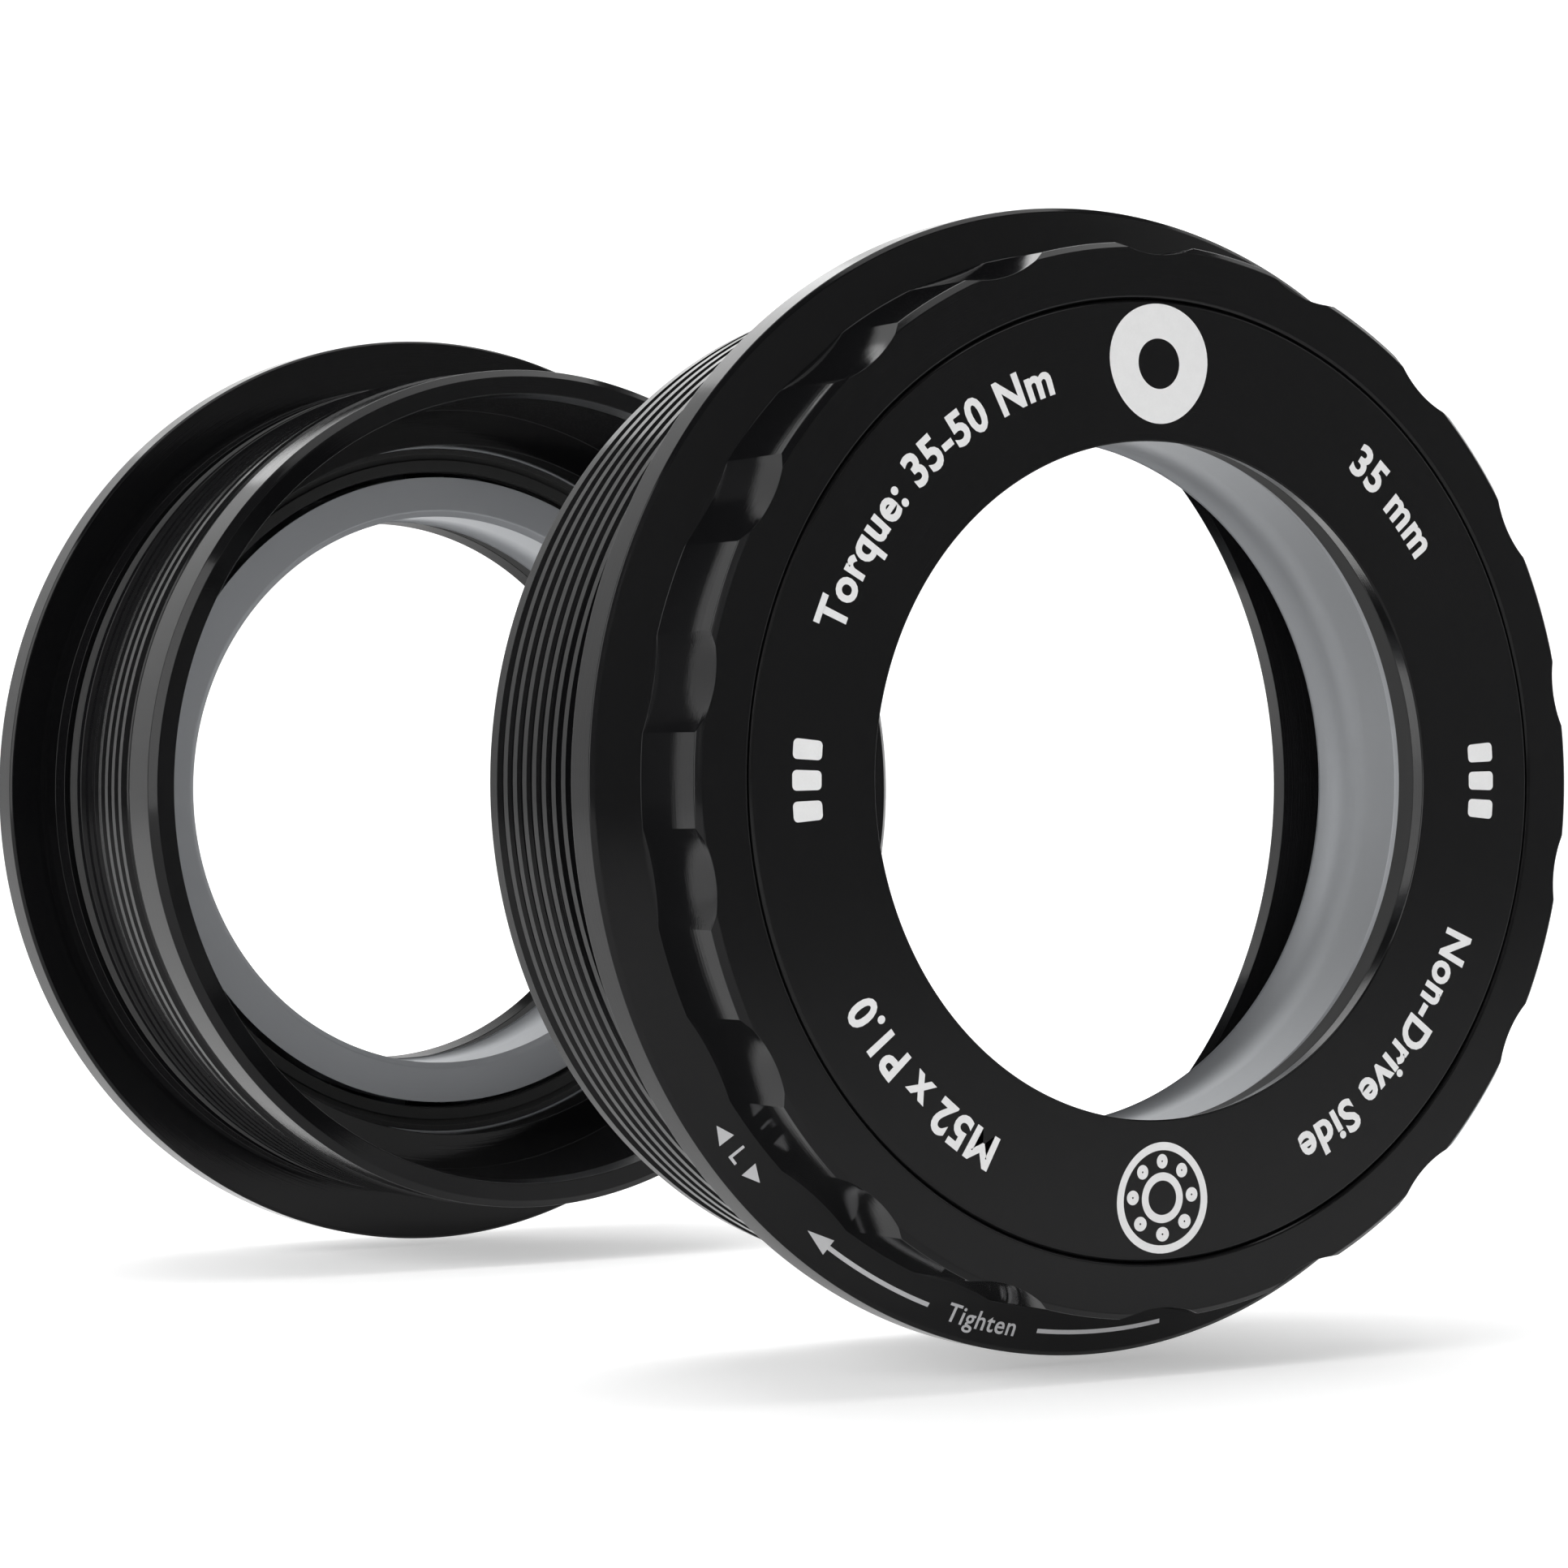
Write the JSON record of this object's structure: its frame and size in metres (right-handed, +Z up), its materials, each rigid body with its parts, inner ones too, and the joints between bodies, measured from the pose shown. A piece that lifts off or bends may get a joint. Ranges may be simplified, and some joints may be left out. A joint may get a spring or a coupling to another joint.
{
  "type": "bicycle bottom bracket",
  "caption": "Threaded external-bearing bottom bracket: two flanged cups that each hold a sealed ball bearing for a crank spindle.",
  "frame": {"origin": "on the spindle axis, half way between the two cups", "axes": "+Y along the spindle axis towards the drive side, +Z up, +X towards the front"},
  "size_m": [0.058, 0.0864, 0.0578],
  "materials": {
    "black_anodised": "black anodised, satin gloss",
    "black_cap": "black anodised, printed",
    "white_print": "white ink",
    "etched_mark": "light grey etched mark",
    "bearing_steel": "ground bearing steel",
    "ball_steel": "polished",
    "cage_plastic": "moulded plastic",
    "o_ring_rubber": "smooth rubber",
    "seal_rubber": "matt rubber"
  },
  "bodies": {
    "non_drive_cup_assembly": {"non_drive_cup": "black_anodised", "non_drive_shell_o_ring": "o_ring_rubber", "non_drive_dust_cap": "black_cap", "non_drive_cap_o_ring": "o_ring_rubber", "non_drive_spindle_seal": "seal_rubber", "non_drive_bearing_outer_ring": "bearing_steel", "non_drive_bearing_outboard_seal": "seal_rubber", "non_drive_bearing_inboard_seal": "seal_rubber"},
    "non_drive_inner_ring": {"non_drive_bearing_inner_ring": "bearing_steel"},
    "non_drive_ball_set": {"non_drive_bearing_balls": "ball_steel", "non_drive_bearing_cage": "cage_plastic"},
    "drive_cup_assembly": {"drive_cup": "black_anodised", "drive_shell_o_ring": "o_ring_rubber", "drive_dust_cap": "black_cap", "drive_cap_o_ring": "o_ring_rubber", "drive_spindle_seal": "seal_rubber", "drive_bearing_outer_ring": "bearing_steel", "drive_bearing_outboard_seal": "seal_rubber", "drive_bearing_inboard_seal": "seal_rubber"},
    "drive_inner_ring": {"drive_bearing_inner_ring": "bearing_steel"},
    "drive_ball_set": {"drive_bearing_balls": "ball_steel", "drive_bearing_cage": "cage_plastic"}
  },
  "joints": [
    {"name": "drive_cup_thread_travel", "type": "slide", "parent": "non_drive_cup_assembly", "child": "drive_cup_assembly", "axis": [0, 1, 0], "range_m": [-0.0027, 0.0143]},
    {"name": "non_drive_inner_ring_spin", "type": "hinge", "parent": "non_drive_cup_assembly", "child": "non_drive_inner_ring", "pos_m": [0, -0.03685, 0], "axis": [0, 1, 0], "continuous": true},
    {"name": "non_drive_ball_set_spin", "type": "hinge", "parent": "non_drive_cup_assembly", "child": "non_drive_ball_set", "pos_m": [0, -0.03685, 0], "axis": [0, 1, 0], "continuous": true},
    {"name": "drive_inner_ring_spin", "type": "hinge", "parent": "drive_cup_assembly", "child": "drive_inner_ring", "pos_m": [0, 0.03685, 0], "axis": [0, 1, 0], "continuous": true},
    {"name": "drive_ball_set_spin", "type": "hinge", "parent": "drive_cup_assembly", "child": "drive_ball_set", "pos_m": [0, 0.03685, 0], "axis": [0, 1, 0], "continuous": true}
  ],
  "couplings": [
    {"joint": "non_drive_ball_set_spin", "follows": "non_drive_inner_ring_spin", "ratio": 0.45799},
    {"joint": "drive_ball_set_spin", "follows": "drive_inner_ring_spin", "ratio": 0.45799}
  ]
}
